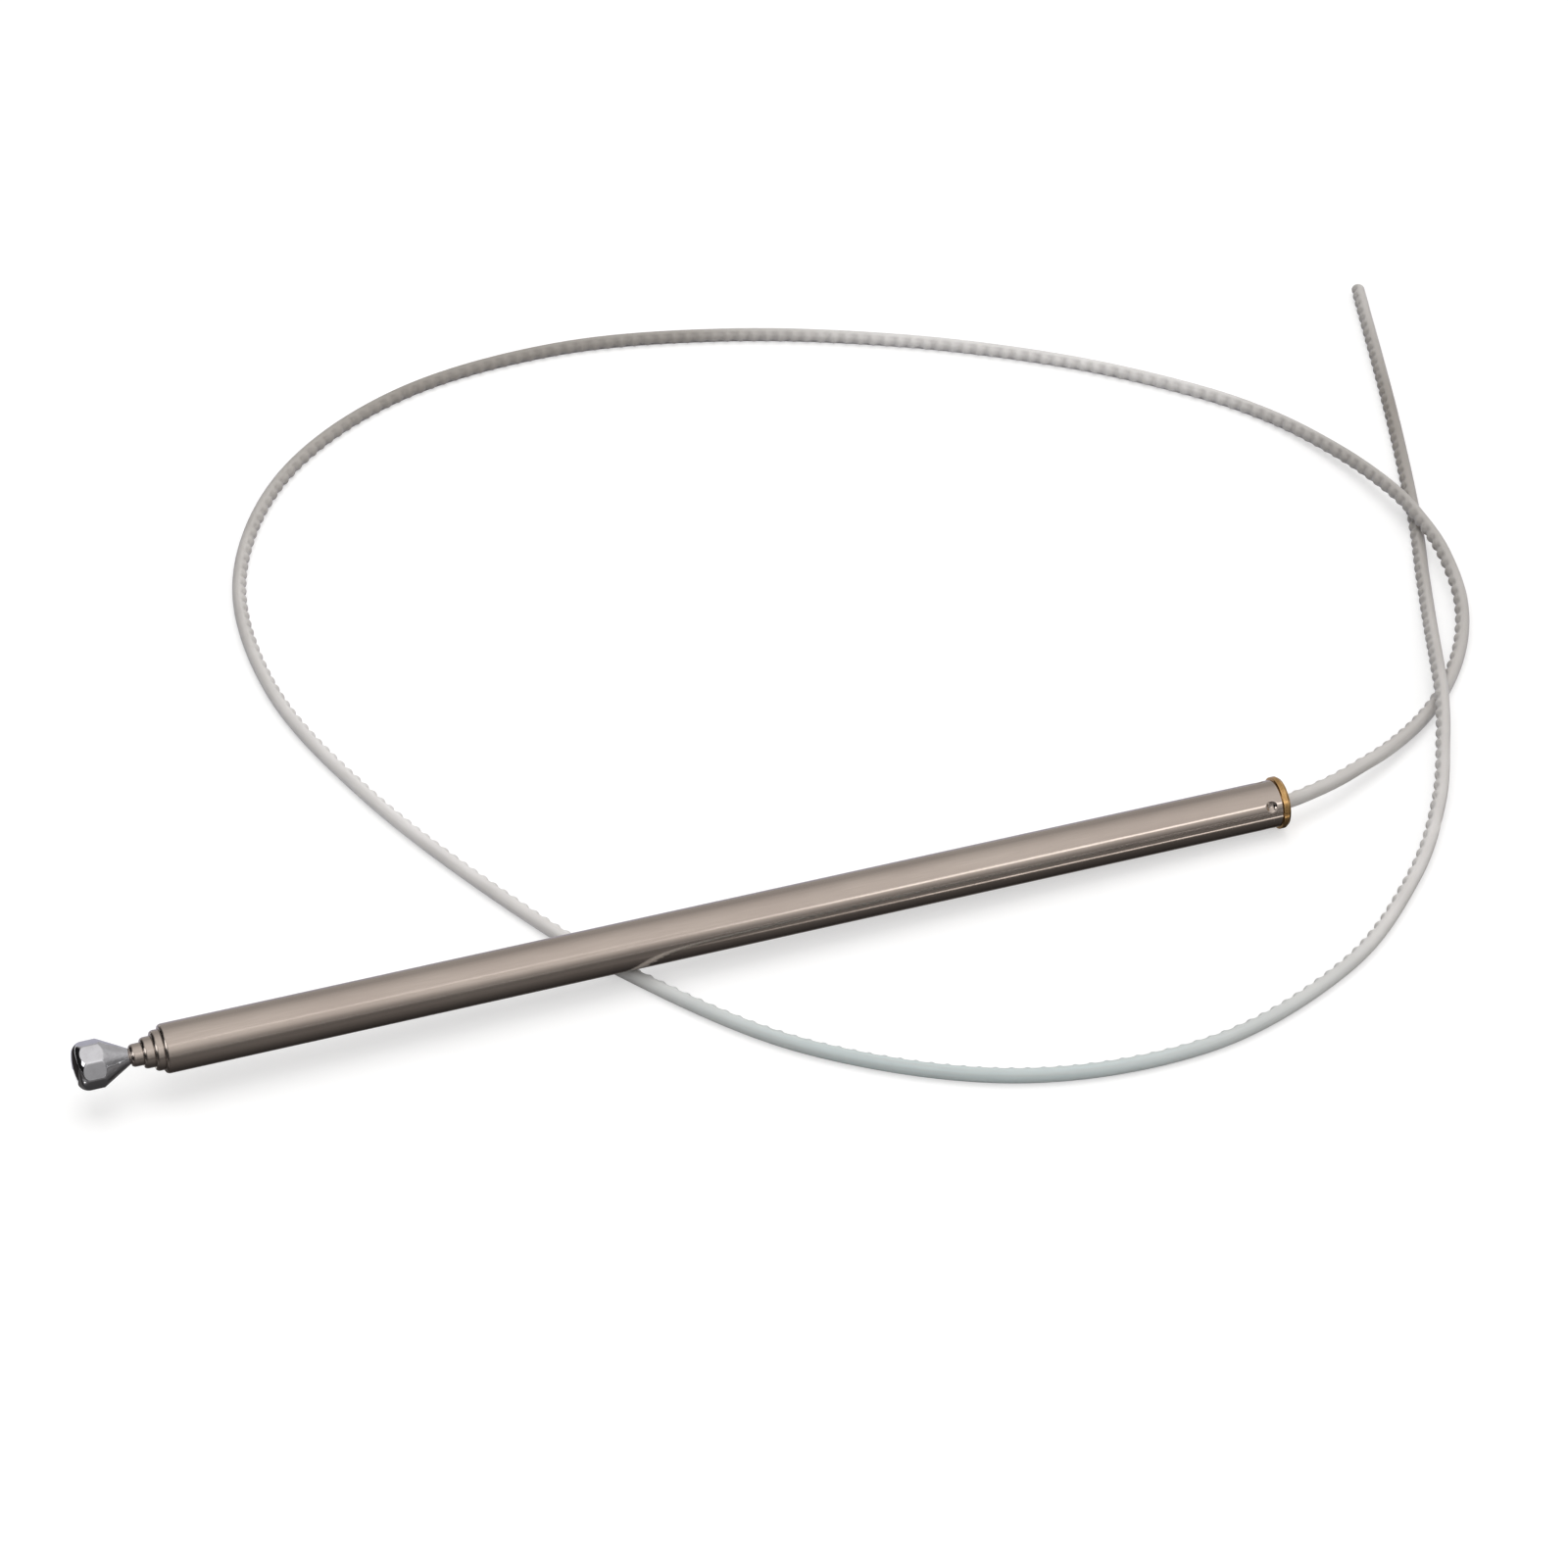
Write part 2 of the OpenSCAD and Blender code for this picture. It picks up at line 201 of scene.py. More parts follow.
# %% [markdown]
# ## The nylon of the cable
#
# The cable is plain white nylon, a little milky: light goes in and comes out again a millimetre
# away, so it takes subsurface scattering. It was drawn through a die, which leaves faint
# lengthwise streaks. The bottoms of the notches are a little darker, as painted shade. Some
# stretches are painted a darker grey, as painted shade too: a list gives places along the cable,
# in metres, with how grey it is painted there, and a colour ramp blends from one to the next. One
# stretch on the near side of the loop is cooler in colour.
#
# All this follows the cable round its bends, so the mesh carries two values made with its
# shape: `cable_place`, which is how far along the cable a point is and where round it, and
# `tooth_cut`, which is 1 at the bottom of a notch and 0 on a crest.

# %% Helpers for materials
def finish_named(name):
    """A new material with its node tree and its Principled shader."""
    material = bpy.data.materials.new(name)
    material.use_nodes = True
    return material, material.node_tree, material.node_tree.nodes["Principled BSDF"]


def noise(tree, place, scale=1.0, detail=3.0):
    """A soft noise between 0 and 1."""
    inputs = {"Vector": place, "Scale": scale, "Detail": detail}
    return add(tree, "ShaderNodeTexNoise", inputs).outputs["Fac"]


def spread(tree, value, low, high, to_low, to_high, smooth=False):
    """Maps a value from one range to another, held at the ends."""
    made = add(
        tree, "ShaderNodeMapRange",
        {"Value": value, "From Min": low, "From Max": high, "To Min": to_low, "To Max": to_high},
        interpolation_type="SMOOTHSTEP" if smooth else "LINEAR",
    )
    return made.outputs["Result"]


def blend_colours(tree, share, first, second):
    """A mix of two colours; each is three numbers or another node's colour."""
    # A Mix node also mixes numbers and vectors: its colours are inputs 6 and 7, and output 2
    made = add(tree, "ShaderNodeMix", data_type="RGBA")
    for socket, end in zip((made.inputs[6], made.inputs[7]), (first, second)):
        if isinstance(end, bpy.types.NodeSocket):
            tree.links.new(end, socket)
        else:
            socket.default_value = (*end, 1.0)
    tree.links.new(share, made.inputs[0])
    return made.outputs[2]


def band_of(tree, value, rise, fall):
    """1 between two edges and 0 outside; each edge is a pair of values that it runs between."""
    up = spread(tree, value, *rise, 0, 1)
    return sums(tree, "MULTIPLY", up, spread(tree, value, *fall, 1, 0))


print("helpers for materials are ready")

# %% The nylon's colours, with painted shade
MILKY = (0.71, 0.695, 0.685)
MILKY_LIGHT = (0.79, 0.775, 0.765)
COOL = (0.62, 0.7, 0.71)
DRAWN = (0.58, 0.56, 0.54)
SHADE_GREY = (0.28, 0.255, 0.228)
# The colour of the painted shade in the bottoms of the notches
NOTCH_SHADE = (0.36, 0.33, 0.3)
COOL_BEGINS = (0.63, 0.69)
COOL_ENDS = (0.74, 0.82)
STREAK = (30 * MM, 0.6 * MM)
# Stretches with painted shade: places along the cable, in metres, with how grey the nylon is
# painted there
SHADED_STRETCHES = [
    (0.0, 0.3), (0.15, 0.65), (0.2, 0.0), (0.27, 0.0), (0.32, 0.8), (0.39, 0.9),
    (0.47, 0.45), (0.56, 0.0), (0.69, 0.15), (0.85, 0.15), (1.01, 0.9), (1.06, 0.4),
]


def shade_share(tree, along):
    """How dark a grey is painted on the nylon as painted shade at a place along the cable, from the
    list of shaded stretches.
    """
    ramp = add(tree, "ShaderNodeValToRGB", {"Fac": sums(tree, "DIVIDE", along, cable_length)})
    stops = ramp.color_ramp.elements
    for number, (metres, share) in enumerate(SHADED_STRETCHES):
        # A new ramp comes with two stops
        stop = stops[number] if number < 2 else stops.new(metres / cable_length)
        stop.position = metres / cable_length
        stop.color = (share, share, share, 1.0)
    return ramp.outputs["Color"]


print("handled stretches:", len(SHADED_STRETCHES), "stops along", round(cable_length, 3), "m")

# %% Make the nylon
def make_nylon():
    material, tree, shader = finish_named("milky_nylon")
    place = add(tree, "ShaderNodeAttribute", attribute_name="cable_place").outputs["Vector"]
    cut = add(tree, "ShaderNodeAttribute", attribute_name="tooth_cut").outputs["Fac"]
    along = add(tree, "ShaderNodeSeparateXYZ", {0: place}).outputs["X"]
    long, thin = STREAK
    counted = {"Vector": place, "Scale": (1 / long, 1 / thin, 1 / thin)}
    cell = add(tree, "ShaderNodeMapping", counted).outputs[0]
    streaks = noise(tree, cell, detail=2.0)
    clouds = noise(tree, place, scale=60.0, detail=2.0)

    # The colour, one layer over the other
    milky = blend_colours(tree, spread(tree, clouds, 0.35, 0.65, 0, 1), MILKY, MILKY_LIGHT)
    cool = blend_colours(tree, band_of(tree, along, COOL_BEGINS, COOL_ENDS), milky, COOL)
    drawn = blend_colours(tree, spread(tree, streaks, 0.4, 0.75, 0, 0.3), cool, DRAWN)
    # Painted shade: some stretches of the cable are painted a darker grey
    shaded_nylon = blend_colours(tree, shade_share(tree, along), drawn, SHADE_GREY)
    # Painted shade: the bottoms of the notches are a little darker
    notch_shade = sums(tree, "MULTIPLY", sums(tree, "POWER", cut, 2.0), 0.05)
    tree.links.new(blend_colours(tree, notch_shade, shaded_nylon, NOTCH_SHADE), shader.inputs["Base Color"])

    # The gloss, and the light that goes in and comes out
    tree.links.new(spread(tree, streaks, 0.3, 0.7, 0.34, 0.46), shader.inputs["Roughness"])
    bump = add(tree, "ShaderNodeBump", {"Height": streaks, "Strength": 0.25, "Distance": 0.03 * MM})
    tree.links.new(bump.outputs[0], shader.inputs["Normal"])
    shader.inputs["IOR"].default_value = 1.53
    shader.inputs["Subsurface Weight"].default_value = 0.6
    shader.inputs["Subsurface Radius"].default_value = (1.0, 1.0, 0.95)
    shader.inputs["Subsurface Scale"].default_value = 1.5 * MM
    return material


milky_nylon = make_nylon()
print("material:", milky_nylon.name, "with", len(milky_nylon.node_tree.nodes), "nodes")

# %% [markdown]
# ## The teeth
#
# The cable is a rack: even notches, 3.18 mm apart, are cut into one side of the round rod, so
# that a gear can drive it. There are over three hundred, and they follow the route: work for
# Geometry Nodes. The tree spaces rings evenly along the route, ten to a tooth, and sweeps a
# circle through them. Then it sinks the toothed side in an even wave that fades out towards the
# top and the underside. The notches are always on the left of the way the cable runs, which is
# the inside of the loop. The last few rings close in to round the bare end.

# %% The tree that makes a toothed cable
LAST_RING = 0.12
TOOTH_EDGES = (0.2, 0.56)


def store(tree, geometry, name, value, kind):
    """Keeps a value with every point of a geometry, for a material to read."""
    inputs = {"Geometry": geometry, "Name": name, "Value": value}
    made = add(tree, "GeometryNodeStoreNamedAttribute", inputs, data_type=kind, domain="POINT")
    return made.outputs["Geometry"]


def moved(tree, geometry, offset):
    """A geometry with its points moved."""
    return add(tree, "GeometryNodeSetPosition", {"Geometry": geometry, "Offset": offset}).outputs[0]


def toothed_cable_tree():
    tree = bpy.data.node_groups.new("toothed_cable", "GeometryNodeTree")
    tree.is_modifier = True
    face = tree.interface
    face.new_socket("Route", in_out="INPUT", socket_type="NodeSocketGeometry")
    for name in ("Cable Radius", "Tooth Pitch", "Tooth Depth", "Rings per Tooth"):
        face.new_socket(name, in_out="INPUT", socket_type="NodeSocketFloat")
    face.new_socket("Sides", in_out="INPUT", socket_type="NodeSocketInt")
    face.new_socket("Finish", in_out="INPUT", socket_type="NodeSocketMaterial")
    face.new_socket("Cable", in_out="OUTPUT", socket_type="NodeSocketGeometry")
    given = tree.nodes.new("NodeGroupInput").outputs
    radius = given["Cable Radius"]
    pitch = given["Tooth Pitch"]

    # Rings, evenly spaced along the route
    curve = add(tree, "GeometryNodeMeshToCurve", {"Mesh": given["Route"]}).outputs["Curve"]
    length = add(tree, "GeometryNodeCurveLength", {"Curve": curve}).outputs["Length"]
    step = sums(tree, "DIVIDE", pitch, given["Rings per Tooth"])
    count = sums(tree, "ADD", sums(tree, "ROUND", sums(tree, "DIVIDE", length, step)), 1.0)
    rings = add(tree, "GeometryNodeResampleCurve", {"Curve": curve, "Count": count}, mode="COUNT")
    level = add(tree, "GeometryNodeSetCurveNormal", {"Curve": rings.outputs["Curve"]}, mode="Z_UP")

    # How far along a ring is, and the left of the cable's way there
    along = add(tree, "GeometryNodeSplineParameter").outputs["Length"]
    way = add(tree, "GeometryNodeInputTangent").outputs["Tangent"]
    left = vectors(tree, "NORMALIZE", vectors(tree, "CROSS_PRODUCT", (0, 0, 1), way))

    # The cut: an even wave, 0 on a crest and 1 at the bottom of a notch
    turns = sums(tree, "MULTIPLY", sums(tree, "DIVIDE", along, pitch), 2 * math.pi)
    cut = sums(tree, "MULTIPLY_ADD", sums(tree, "COSINE", turns), 0.5, 0.5)

    # The bare end: within one radius of it the rings slide out and shrink, as on a ball
    to_end = sums(tree, "DIVIDE", sums(tree, "SUBTRACT", length, along), radius)
    share = sums(tree, "MINIMUM", to_end, 1.0)
    angle = sums(tree, "MULTIPLY", share, math.pi / 2)
    shrink = sums(tree, "MAXIMUM", sums(tree, "SINE", angle), LAST_RING)
    reach = sums(tree, "ADD", share, sums(tree, "COSINE", angle))
    slide = sums(tree, "MULTIPLY", radius, sums(tree, "SUBTRACT", reach, 1.0))
    slid = moved(tree, level.outputs["Curve"], scaled(tree, way, slide))

    # Keep what each ring knows, and sweep a circle along the rings
    kinds = {"middle": "VECTOR", "left": "VECTOR", "cut": "FLOAT", "along": "FLOAT"}
    kept = tree.nodes.new("GeometryNodeCaptureAttribute")
    for name, kind in kinds.items():
        kept.capture_items.new(kind, name)
    tree.links.new(slid, kept.inputs["Geometry"])
    middle = add(tree, "GeometryNodeInputPosition").outputs["Position"]
    for name, value in zip(kinds, (middle, left, cut, along)):
        tree.links.new(value, kept.inputs[name])
    circle = {"Resolution": given["Sides"], "Radius": radius}
    ring = add(tree, "GeometryNodeCurvePrimitiveCircle", circle, mode="RADIUS")
    sweep = add(tree, "GeometryNodeCurveToMesh", {
        "Curve": kept.outputs["Geometry"],
        "Profile Curve": ring.outputs["Curve"],
        "Scale": shrink,
        "Fill Caps": True,
    })

    # Sink the notches into the toothed side; they fade out towards the top and the underside
    point = add(tree, "GeometryNodeInputPosition").outputs["Position"]
    out = vectors(tree, "SUBTRACT", point, kept.outputs["middle"])
    side = vectors(tree, "DOT_PRODUCT", out, kept.outputs["left"])
    turned = sums(tree, "DIVIDE", side, radius)
    facing = spread(tree, turned, *TOOTH_EDGES, 0.0, 1.0, smooth=True)
    notch = sums(tree, "MULTIPLY", facing, kept.outputs["cut"])
    depth = sums(tree, "MULTIPLY", notch, sums(tree, "DIVIDE", given["Tooth Depth"], radius))
    inward = scaled(tree, out, sums(tree, "MULTIPLY", depth, -1.0))
    notched = moved(tree, sweep.outputs["Mesh"], inward)

    # Values for the nylon: place along and round the cable, and how deep the cut is here
    rise = add(tree, "ShaderNodeSeparateXYZ", {0: out}).outputs["Z"]
    parts = {0: kept.outputs["along"], 1: side, 2: rise}
    place = add(tree, "ShaderNodeCombineXYZ", parts).outputs["Vector"]
    placed = store(tree, notched, "cable_place", place, "FLOAT_VECTOR")
    marked = store(tree, placed, "tooth_cut", notch, "FLOAT")
    real = add(tree, "GeometryNodeRealizeInstances", {"Geometry": marked}).outputs["Geometry"]
    wanted = {"Geometry": real, "Material": given["Finish"]}
    finished = add(tree, "GeometryNodeSetMaterial", wanted)
    end = tree.nodes.new("NodeGroupOutput")
    tree.links.new(finished.outputs["Geometry"], end.inputs["Cable"])
    return tree


cable_tree = toothed_cable_tree()
print("nodes in the cable's tree:", len(cable_tree.nodes))

# %% [markdown]
# The tree works on the route as a line of points. Its result is turned into a plain mesh, and
# the modifier and the line are thrown away.

# %% Turn a tree's result into a plain mesh
def made_by_tree(name, tree, start, values):
    """The plain mesh object that a tree makes from a starting mesh, with its named inputs set."""
    source = bpy.data.objects.new(name + "_source", start)
    bpy.context.scene.collection.objects.link(source)
    modifier = source.modifiers.new(name, "NODES")
    modifier.node_group = tree
    for item in tree.interface.items_tree:
        if item.in_out == "INPUT" and item.name in values:
            modifier[item.identifier] = values[item.name]
    depsgraph = bpy.context.evaluated_depsgraph_get()
    mesh = bpy.data.meshes.new_from_object(source.evaluated_get(depsgraph), depsgraph=depsgraph)
    source.modifiers.remove(modifier)
    bpy.data.objects.remove(source)
    mesh.name = name
    mesh.shade_smooth()
    piece = bpy.data.objects.new(name, mesh)
    bpy.context.scene.collection.objects.link(piece)
    return piece


route_mesh = bpy.data.meshes.new("cable_route")
route_mesh.from_pydata(cable_line, [(i, i + 1) for i in range(len(cable_line) - 1)], [])
print("route:", len(route_mesh.vertices), "points")

# %% Make the cable
TOOTH_PITCH = 3.18
TOOTH_DEPTH = 0.55
toothed_cable = made_by_tree("toothed_cable", cable_tree, route_mesh, {
    "Cable Radius": CABLE_R * MM,
    "Tooth Pitch": TOOTH_PITCH * MM,
    "Tooth Depth": TOOTH_DEPTH * MM,
    "Rings per Tooth": 10.0,
    "Sides": 24,
    "Finish": milky_nylon,
})
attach(toothed_cable, "mast_base")
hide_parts("drive_cable")
teeth = cable_length / MM / TOOTH_PITCH
print("cable:", len(toothed_cable.data.polygons), "faces,", round(teeth), "teeth")

# %% [markdown]
# ## A lathe in code
#
# Tubes, ferrule and rod are all turned shapes, so one helper makes them: a section, given as
# corners of radius and height, is swept round the axis into a closed mesh. Real corners are
# never sharp, so each corner has a small easing, and a pair of extra rings next to it keeps the
# shading of the long straight sides flat.

# %% Ease the corners of a section
def eased(corners, steps=5):
    """Rounds the corners of a closed section; each corner is (radius, height, easing)."""
    points = []
    count = len(corners)
    for i, (radius, height, ease) in enumerate(corners):
        here = Vector((radius, height))
        back = Vector(corners[i - 1][:2]) - here
        on = Vector(corners[(i + 1) % count][:2]) - here
        if not ease:
            points.append(here)
            continue
        back.normalize()
        on.normalize()
        half = back.angle(on) / 2
        reach = ease / math.tan(half)
        centre = here + (back + on).normalized() * (ease / math.sin(half))
        first = here + back * reach - centre
        last = here + on * reach - centre
        turn = first.angle(last)
        points.append(here + back * (reach + ease * 0.2))
        for k in range(steps + 1):
            share = k / steps
            arm = first * math.sin((1 - share) * turn) + last * math.sin(share * turn)
            points.append(centre + arm / math.sin(turn))
        points.append(here + on * (reach + ease * 0.2))
    return points


square = [(1, 0, 0), (2, 0, 0.1), (2, 1, 0.1), (1, 1, 0)]
print("a section of 4 corners, two of them eased, has", len(eased(square)), "points")

# %% Turn a section into a mesh
def lathe(name, section, sides=96, start_angle=0.0, shape=None):
    """A closed mesh turned about the mast's axis. Points at radius 0 are its two poles.

    shape, if given, takes (radius, height, angle) and gives the radius there instead.
    """
    mesh = bmesh.new()
    rings = []
    for radius, height in section:
        if radius < 1e-6:
            rings.append([mesh.verts.new((0, 0, height))])
            continue
        ring = []
        for k in range(sides):
            angle = start_angle + 2 * math.pi * k / sides
            r = shape(radius, height, angle) if shape else radius
            ring.append(mesh.verts.new((r * math.cos(angle), r * math.sin(angle), height)))
        rings.append(ring)
    closed = len(rings[0]) > 1
    for i in range(len(rings) if closed else len(rings) - 1):
        low = rings[i]
        high = rings[(i + 1) % len(rings)]
        for k in range(sides):
            after = (k + 1) % sides
            lower = [low[k % len(low)], low[after % len(low)]]
            upper = [high[after % len(high)], high[k % len(high)]]
            # A pole gives the same point twice, and it counts once
            mesh.faces.new(list(dict.fromkeys(lower + upper)))
    mesh.transform(lay_down)
    bmesh.ops.recalc_face_normals(mesh, faces=mesh.faces)
    data = bpy.data.meshes.new(name)
    mesh.to_mesh(data)
    mesh.free()
    data.shade_smooth()
    piece = bpy.data.objects.new(name, data)
    bpy.context.scene.collection.objects.link(piece)
    return piece


def fit(piece, body, node, material):
    """Gives a piece its body and its finish, and hides the node it stands for."""
    piece.data.materials.append(material)
    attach(piece, body)
    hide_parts(node)
    print(piece.name, "-", len(piece.data.polygons), "faces")


# %% [markdown]
# ## Metal finishes
#
# A polished metal shows only what stands around it, so its colour alone says little: the
# roughness and the fine marks of the tool make the difference. The tubes are drawn and then
# brushed to a warm satin, with grain along the mast. The knob is bright chrome: its cone is
# polished more highly than the band and the dome, and has faint streaks that run down it. The
# ferrule is brass straight from the lathe, with rings round it, and the springs are a redder
# bronze. One `Mapping` turned by the tilt lines the grain up with the mast: its scale is the
# size of one grain, long along and thin across.

# %% Satin steel
def grain(tree, long, thin):
    """Object coordinates lined up with the mast, counted in grains of that length and thickness."""
    place = add(tree, "ShaderNodeTexCoord").outputs["Object"]
    inputs = {"Vector": place, "Rotation": (0, tilt, 0), "Scale": (long, thin, thin)}
    return add(tree, "ShaderNodeMapping", inputs, vector_type="TEXTURE").outputs[0]


def along_mast(tree):
    """How far along the mast a point is, in metres: 0 at the flange, less towards the tip."""
    return add(tree, "ShaderNodeSeparateXYZ", {0: grain(tree, 1.0, 1.0)}).outputs["X"]


def scratch(tree, shader, height, strength):
    """Fine marks, a hundredth of a millimetre deep."""
    inputs = {"Height": height, "Strength": strength, "Distance": 0.01 * MM}
    tree.links.new(add(tree, "ShaderNodeBump", inputs).outputs[0], shader.inputs["Normal"])


STEEL = (0.45, 0.385, 0.345)
STEEL_LIGHT = (0.49, 0.425, 0.38)
STEEL_GRAIN = (0.38, 0.33, 0.29)


def make_steel():
    material, tree, shader = finish_named("brushed_steel")
    brushed = noise(tree, grain(tree, 6 * MM, 0.12 * MM), detail=2.0)
    speckle = noise(tree, grain(tree, 0.25 * MM, 0.25 * MM), detail=1.0)
    patchy = noise(tree, grain(tree, 25 * MM, 9 * MM))
    tint = blend_colours(tree, spread(tree, patchy, 0.35, 0.65, 0, 1), STEEL, STEEL_LIGHT)
    shade = blend_colours(tree, spread(tree, brushed, 0.3, 0.8, 0, 0.4), tint, STEEL_GRAIN)
    tree.links.new(shade, shader.inputs["Base Color"])

    # A little smoother towards the foot
    worn = spread(tree, along_mast(tree), -0.24, -0.02, 0.16, 0.06)
    uneven = sums(tree, "MULTIPLY", sums(tree, "ADD", brushed, patchy), 0.06)
    tree.links.new(sums(tree, "ADD", uneven, worn), shader.inputs["Roughness"])
    scratch(tree, shader, sums(tree, "MULTIPLY_ADD", speckle, 0.5, brushed), 0.2)
    shader.inputs["Metallic"].default_value = 1.0
    return material


brushed_steel = make_steel()
print("material:", brushed_steel.name)

# %% Bright chrome
CHROME = (0.64, 0.64, 0.67)
CHROME_DULL = (0.58, 0.575, 0.6)
CONE_BEGINS = (-0.2497, -0.2492)


def make_chrome():
    material, tree, shader = finish_named("bright_chrome")
    smudge = noise(tree, grain(tree, 2 * MM, 2 * MM), detail=4.0)
    pits = noise(tree, grain(tree, 0.3 * MM, 0.3 * MM), detail=2.0)
    tint = blend_colours(tree, spread(tree, smudge, 0.4, 0.7, 0, 1), CHROME, CHROME_DULL)
    tree.links.new(tint, shader.inputs["Base Color"])

    # The cone is smoother than the band and the dome, but streaked
    cone = spread(tree, along_mast(tree), *CONE_BEGINS, 0, 1)
    rough = spread(tree, smudge, 0.35, 0.75, 0.05, 0.11)
    polished = sums(tree, "MULTIPLY", rough, spread(tree, cone, 0, 1, 1, 0.4))
    tree.links.new(polished, shader.inputs["Roughness"])
    streaks = noise(tree, grain(tree, 12 * MM, 0.8 * MM), detail=1.0)
    on_cone = sums(tree, "MULTIPLY", streaks, cone)
    scratch(tree, shader, sums(tree, "MULTIPLY_ADD", on_cone, 22.0, pits), 0.3)
    shader.inputs["Metallic"].default_value = 1.0
    return material


bright_chrome = make_chrome()
print("material:", bright_chrome.name)

# %% Turned brass and spring bronze
def rings_round(tree, width):
    """Noise that changes only with the place along the axis and the distance from it."""
    place = add(tree, "ShaderNodeSeparateXYZ", {0: grain(tree, width, width)}).outputs
    squares = [sums(tree, "POWER", place[side], 2.0) for side in ("Y", "Z")]
    out = sums(tree, "SQRT", sums(tree, "ADD", *squares))
    round_axis = add(tree, "ShaderNodeCombineXYZ", {0: place["X"], 1: out})
    return noise(tree, round_axis.outputs[0], detail=2.0)


def make_turned(name, bright, dull, low, high):
    """A turned metal with a bright and a dull colour, and a roughness from low to high."""
    material, tree, shader = finish_named(name)
    rings = rings_round(tree, 0.08 * MM)
    stain = noise(tree, grain(tree, 1.5 * MM, 1.5 * MM))
    tint = blend_colours(tree, spread(tree, stain, 0.4, 0.75, 0, 1), bright, dull)
    tree.links.new(tint, shader.inputs["Base Color"])
    tree.links.new(spread(tree, rings, 0.3, 0.7, low, high), shader.inputs["Roughness"])
    scratch(tree, shader, rings, 0.3)
    shader.inputs["Metallic"].default_value = 1.0
    return material


lathe_brass = make_turned("lathe_brass", (0.66, 0.41, 0.175), (0.44, 0.26, 0.1), 0.16, 0.3)
strip_bronze = make_turned("strip_bronze", (0.62, 0.36, 0.19), (0.42, 0.23, 0.12), 0.2, 0.36)
print("materials:", lathe_brass.name, strip_bronze.name)

# %% [markdown]
# ## The outer tube and its stakes
#
# The outer tube is thin steel with a rolled lip at its mouth. Four stakes hold it on the
# ferrule: a round-nosed punch dented the wall, so the dimple is part of a ball, with a soft
# shoulder round it where the metal was drawn in. The tube is turned with closely spaced rings
# round its foot, and each point there is pushed in as far as the punch went.

# %% Where a punch dents the wall
STAKES = 4
STAKE_TURN = math.radians(-56.5)
STAKE_HEIGHT = 2.5
STAKE_R = 1.15
PUNCH_R = 1.5
SOFT = 0.1
punch_middle = OUTER_R + math.sqrt(PUNCH_R**2 - STAKE_R**2)


def dent(radius, height, angle, ball, edge):
    """The wall's radius where a ball of that radius is pushed in; the dent ends at edge."""
    turned = (angle - STAKE_TURN + math.pi / STAKES) % (2 * math.pi / STAKES) - math.pi / STAKES
    away = math.hypot(height - STAKE_HEIGHT, radius * math.sin(turned))
    rim = math.sqrt(ball**2 - edge**2)
    depth = math.sqrt(ball**2 - away**2) - rim if away < edge else -(away - edge) * edge / rim
    return radius - (depth + math.sqrt(depth**2 + SOFT**2)) / 2


WALL = 0.4
STAKED_PART = (0.3, 5.2)
OUTER_BORE = OUTER_R - WALL
bulge_r = PUNCH_R + WALL
bulge_edge = math.sqrt(bulge_r**2 - (punch_middle - OUTER_BORE)**2)


def staked_wall(radius, height, angle):
    """The tube's radius at its foot: the outer face dents and the bore bulges."""
    low, high = STAKED_PART
    if not low < height < high:
        return radius
    if radius > OUTER_BORE + WALL / 2:
        return dent(radius, height, angle, PUNCH_R, STAKE_R)
    return dent(radius, height, angle, bulge_r, bulge_edge)


sunk = PUNCH_R - (punch_middle - OUTER_R)
print("stakes:", STAKES, "of", 2 * STAKE_R, "mm, sunk", round(sunk, 2), "mm")

# %% Make the outer tube
TUBE_LENGTH = 237.3
LIP_DEPTH = 1.0
ROLL_WIDTH = 0.6
ROLL_LENGTH = 0.9
ROLL_STEPS = 12
SEAT_GAP = 0.02
SLIDE_GAP = 0.05


def tube_section(tube_r, bore_r, guest_r, foot, mouth, foot_rings=()):
    """A tube's section: up the outside, over the rolled lip, and down the bore."""
    lip_r = guest_r + SLIDE_GAP
    corners = [(tube_r, mouth - ROLL_LENGTH - 0.2, 0)]
    for k in range(ROLL_STEPS + 1):
        angle = math.radians(90 * k / ROLL_STEPS)
        inward = ROLL_WIDTH * (1 - math.cos(angle))
        corners.append((tube_r - inward, mouth - ROLL_LENGTH * (1 - math.sin(angle)), 0))
    corners += [
        (lip_r, mouth, 0.04 if tube_r - lip_r - ROLL_WIDTH > 0.06 else 0),
        (lip_r, mouth - LIP_DEPTH, 0),
        (bore_r, mouth - LIP_DEPTH, 0),
        (bore_r, foot, 0.05),
        (tube_r, foot, 0.1),
    ]
    points = [tuple(p) for p in eased(corners)]
    inner = [(bore_r, h) for h in reversed(foot_rings)]
    outer = [(tube_r, h) for h in foot_rings]
    foot_at = next(i for i, p in enumerate(points) if p[1] < foot + 1)
    return points[:foot_at] + inner + points[foot_at:] + outer


fine_rings = [0.35 + 0.1 * k for k in range(49)]
outer_tube = lathe(
    "outer_tube_drawn",
    tube_section(OUTER_R, OUTER_BORE, 4.1, SEAT_GAP, TUBE_LENGTH, fine_rings),
    sides=256,
    shape=staked_wall,
)
fit(outer_tube, "mast_base", "outer_tube", brushed_steel)

# %% [markdown]
# ## The sliding sections
#
# Three tubes and a solid rod fit into one another. Each tube stands a couple of millimetres out
# of the next one's mouth when the mast is in, which gives the tip its little stair. Their
# mouths are rolled like the outer tube's. The roll takes up most of such a small end face, so
# they look like soft shoulders. The heights repeat the ones in the CAD source.

